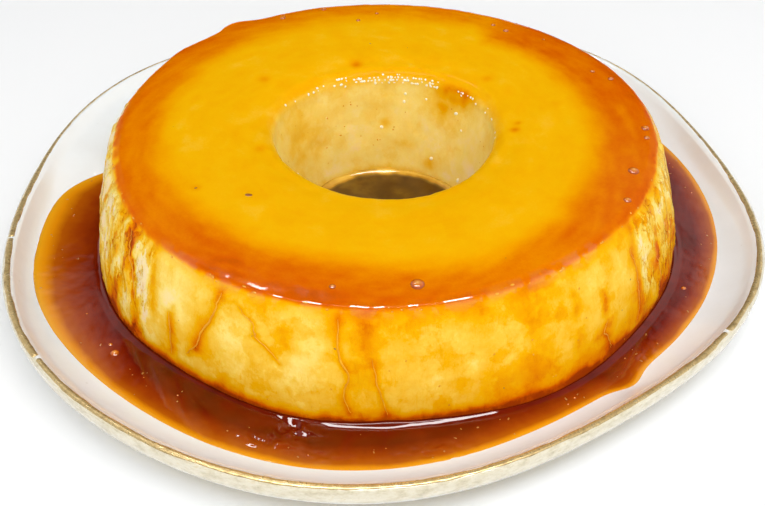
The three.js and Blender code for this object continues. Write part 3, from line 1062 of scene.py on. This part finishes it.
def pool_crumbs(pool, chance):
    spots = []
    for _ in range(110):
        size = chance.uniform(0.12, 0.34)
        place = on_pool(pool, chance.uniform(0, 360), chance.beta(2, 2))
        spots.append(spot(place, UP, size, 0.35, chance.uniform(1, 2.2), chance.uniform(0, 3), sink=0.12))
    scattered_piece("pool_crumbs", spots, crumb_material())


def dark_specks(surface, chance):
    spots = []
    for azimuth, radius, size in DARK_SPECKS:
        place, normal = on_top(surface, azimuth, radius)
        spots.append(spot(place, normal, size, 0.3, 1.6, chance.uniform(0, 3), sink=0.1 / size))
    for _ in range(26):
        label = chance.choice([SIDE, SIDE, TOP])
        place = on_pudding(surface, chance.uniform(0, 360), label, chance.uniform(0.03, 0.95))
        size = chance.uniform(0.12, 0.3)
        spots.append(spot(*place, size, 0.3, chance.uniform(1, 1.8), chance.uniform(0, 3)))
    scattered_piece("burnt_specks", spots, speck_material())


# Threads of caramel down the side: azimuth at the top, azimuth at the foot, top, bottom, wobble, width.
THREADS = [
    (-119.5, -126.5, 0.93, 0.2, 1.3, 0.33), (-116, -108, 0.88, 0.48, 1.4, 0.24),
    (-98.5, -95.5, 0.95, 0.1, 1.1, 0.30), (-92.5, -90, 0.62, 0.08, 0.5, 0.21),
    (-131, -131.5, 0.55, 0.12, 0.8, 0.30), (-147, -141, 1.0, 0.36, 1.3, 0.30),
    (-36.5, -36, 0.8, 0.1, 1.3, 0.18), (-47.5, -46, 0.4, 0.08, 1.4, 0.21),
    (-28, -26.5, 0.5, 0.08, 1.3, 0.21), (15, 18, 0.9, 0.2, 1.4, 0.27),
    (47, 44, 0.95, 0.1, 1.3, 0.27), (103, 106, 0.9, 0.3, 1.4, 0.24),
    (121, 119, 0.95, 0.15, 1.1, 0.27), (158, 161, 0.9, 0.1, 1.3, 0.27),
]


def thread_azimuth(seed, down):
    """The azimuth of a thread at a share of its way down."""
    first, last, _, _, wobble, _ = THREADS[seed]
    path = np.stack([down * 40, np.full_like(down, seed * 50.0), np.zeros_like(down)], axis=-1)
    return mix(first, last, down) + wobble * rough(path, 11, 101, octaves=4)


def thread_stain(rows, share):
    """The custard is stained beside each thread."""
    stain = 0
    for seed, (_, _, top, bottom, _, width) in enumerate(THREADS):
        down = np.clip((top - share) / (top - bottom), 0, 1)
        away = apart(rows, thread_azimuth(seed, down))
        along = ease(share, bottom - 0.03, bottom + 0.03) * ease(share, top + 0.03, top - 0.03)
        stain = stain + along * (0.2 * peak(away, width + 0.35) + 0.1 * peak(away, 2.2))
    return stain


def thread_places(surface, seed):
    """Places and normals down one thread, a step for each column of the side."""
    _, _, top, bottom, _, _ = THREADS[seed]
    columns = np.flatnonzero(surface["label"] == SIDE)
    share = share_up(surface["places"][0, columns, 2])
    columns = columns[(share < top) & (share > bottom)]
    turn = thread_azimuth(seed, np.linspace(0, 1, len(columns))) / 360 * RING_STEPS
    low = np.floor(turn).astype(int)
    part = (turn - low)[:, None]
    here, after = low % RING_STEPS, (low + 1) % RING_STEPS
    grids = (surface["places"], surface["normals"])
    return [mix(grid[here, columns], grid[after, columns], part) for grid in grids]


def threads_piece(surface):
    """Thin raised runs, each a flat tube with tapered ends."""
    points, faces = [], []
    count, sides = 0, 8
    for seed in range(len(THREADS)):
        places, normals = thread_places(surface, seed)
        steps = len(places)
        across = np.cross(np.gradient(places, axis=0), normals)
        across /= np.linalg.norm(across, axis=1, keepdims=True)
        ends = np.sqrt(np.sin(np.pi * np.linspace(0.02, 0.98, steps)))[:, None]
        width = THREADS[seed][-1] * ends * (1 + 0.4 * rough(places, 5, 111))[:, None]
        for k in range(sides):
            turn = 2 * math.pi * k / sides
            proud = (0.05 + 0.12 * math.sin(turn)) * ends
            points.append(places + across * width * math.cos(turn) + normals * proud)
        grid = count + np.arange(sides * steps).reshape(sides, steps)
        after = np.roll(grid, -1, axis=0)
        quads = np.stack([grid[:, :-1], grid[:, 1:], after[:, 1:], after[:, :-1]], axis=-1)
        faces += quads.reshape(-1, 4).tolist()
        faces += [grid[::-1, 0].tolist(), grid[:, -1].tolist()]
        count += sides * steps
    piece = finish_mesh("caramel_threads", np.vstack(points), faces, thread_material(), {})


# ---- Studio ----

CAMERA_DISTANCE = 471
CAMERA_ELEVATION = 36.9
CAMERA_LENS = 56.9
CAMERA_AIM = (0.18, -1.58)  # degrees to the left of the axis, and down from the caramel's level on it
CAMERA_ROLL = -0.26


def add_camera():
    """The camera stands in front of the pudding's axis, looking down on it."""
    lens = bpy.data.cameras.new("camera")
    lens.lens = CAMERA_LENS
    lens.clip_end = 50
    camera = bpy.data.objects.new("camera", lens)
    bpy.context.scene.collection.objects.link(camera)
    tilt = math.radians(CAMERA_ELEVATION)
    away = CAMERA_DISTANCE * MM
    place = AXIS + Vector((0, -away * math.cos(tilt), away * math.sin(tilt) + LEVEL * MM))
    turn = Matrix.Rotation(math.radians(CAMERA_AIM[0]), 4, "Z")
    down = Matrix.Rotation(math.radians(90 - CAMERA_ELEVATION + CAMERA_AIM[1]), 4, "X")
    roll = Matrix.Rotation(math.radians(CAMERA_ROLL), 4, "Z")
    camera.matrix_world = Matrix.Translation(place) @ turn @ down @ roll
    bpy.context.scene.camera = camera


def add_floor():
    """A pale level floor, 8 m across."""
    mesh = bpy.data.meshes.new("floor")
    mesh.from_pydata([(-4, -4, 0), (4, -4, 0), (4, 4, 0), (-4, 4, 0)], [], [(0, 1, 2, 3)])
    made = Shading("floor", Roughness=0.9, Base_Color=(0.97, 0.97, 0.97, 1), Specular_IOR_Level=0.1)
    mesh.materials.append(made.material)
    floor = bpy.data.objects.new("floor", mesh)
    bpy.context.scene.collection.objects.link(floor)


def add_panel(name, place, width, height, radiance, soft):
    """A rectangular light that faces the origin. A soft one lights without a highlight, and a hard one is
    only seen as a highlight. Places and sizes are in metres."""
    lamp = bpy.data.lights.new(name, "AREA")
    lamp.shape = "RECTANGLE"
    lamp.size = width
    lamp.size_y = height
    lamp.energy = math.pi * width * height * radiance
    panel = bpy.data.objects.new(name, lamp)
    panel.visible_glossy = not soft
    panel.visible_diffuse = soft
    bpy.context.scene.collection.objects.link(panel)
    place = Vector(place)
    panel.matrix_world = Matrix.Translation(place) @ (-place).to_track_quat("-Z", "Y").to_matrix().to_4x4()


def add_world():
    """Soft light from all round, a little stronger from the right and weaker from the front and from high up.
    A narrow and a wide dark patch behind the plate keep reflections off the pudding's top."""
    world = bpy.data.worlds.new("studio")
    bpy.context.scene.world = world
    world.use_nodes = True
    made = Nodes(world.node_tree)
    split = made.node("SeparateXYZ")
    made.link(made.node("TexCoord").outputs["Generated"], split.inputs[0])
    right, back, up = split.outputs
    side = made.times(made.maths("ABSOLUTE", right), 14.0)
    behind = made.times(back, 4.0, clamp=True)
    narrow = made.times(made.minus(3.6, side, clamp=True), behind)
    narrow = made.times(narrow, made.times(made.minus(0.8, up), 10.0, clamp=True))
    wide = made.times(made.minus(7.0, side, clamp=True), behind)
    top = made.plus(made.times(made.times(right, -8.0, clamp=True), 0.1), 0.55)
    wide = made.times(wide, made.times(made.minus(top, up), 20.0, clamp=True))
    strength = made.plus(made.times(right, 0.1), 0.96)
    strength = made.minus(strength, made.maths("MAXIMUM", made.times(made.minus(up, 0.6), 2.9), 0.0))
    strength = made.minus(strength, made.times(made.times(back, -3.0, clamp=True), 0.25))
    strength = made.minus(strength, made.maths("MAXIMUM", narrow, wide), clamp=True)
    sight = made.node("LightPath").outputs["Is Camera Ray"]
    background = made.tree.nodes["Background"]
    background.inputs["Color"].default_value = (0.97, 0.985, 1, 1)
    made.link(made.plus(strength, made.times(sight, 0.6)), background.inputs["Strength"])


def add_lights():
    add_world()
    add_panel("front_panel", (-0.3, -1.0, 1.0), 1.7, 1.0, 1.75, soft=True)
    add_panel("top_panel", (0.3, -0.3, 1.25), 0.9, 0.9, 3.5, soft=True)
    add_panel("gleam_panel", (-0.02, -0.33, 1.25), 1.2, 0.32, 22, soft=False)
    add_panel("window_panel", (-0.3, 0.62, 1.15), 0.3, 0.11, 22, soft=False)


def main():
    bpy.context.scene.view_settings.view_transform = "Standard"
    add_camera()
    add_floor()
    add_lights()
    chance = np.random.default_rng(7)
    plate_piece()
    band_piece()
    surface = pudding_piece()
    pool = pool_piece()
    centre_pool_piece()
    threads_piece(surface)
    top_bubbles(surface, chance)
    edge_beads(surface, chance)
    hole_painted_glints(surface, chance)
    side_beads(surface, chance)
    pool_bubbles(pool, chance)
    pool_crumbs(pool, chance)
    dark_specks(surface, chance)


main()
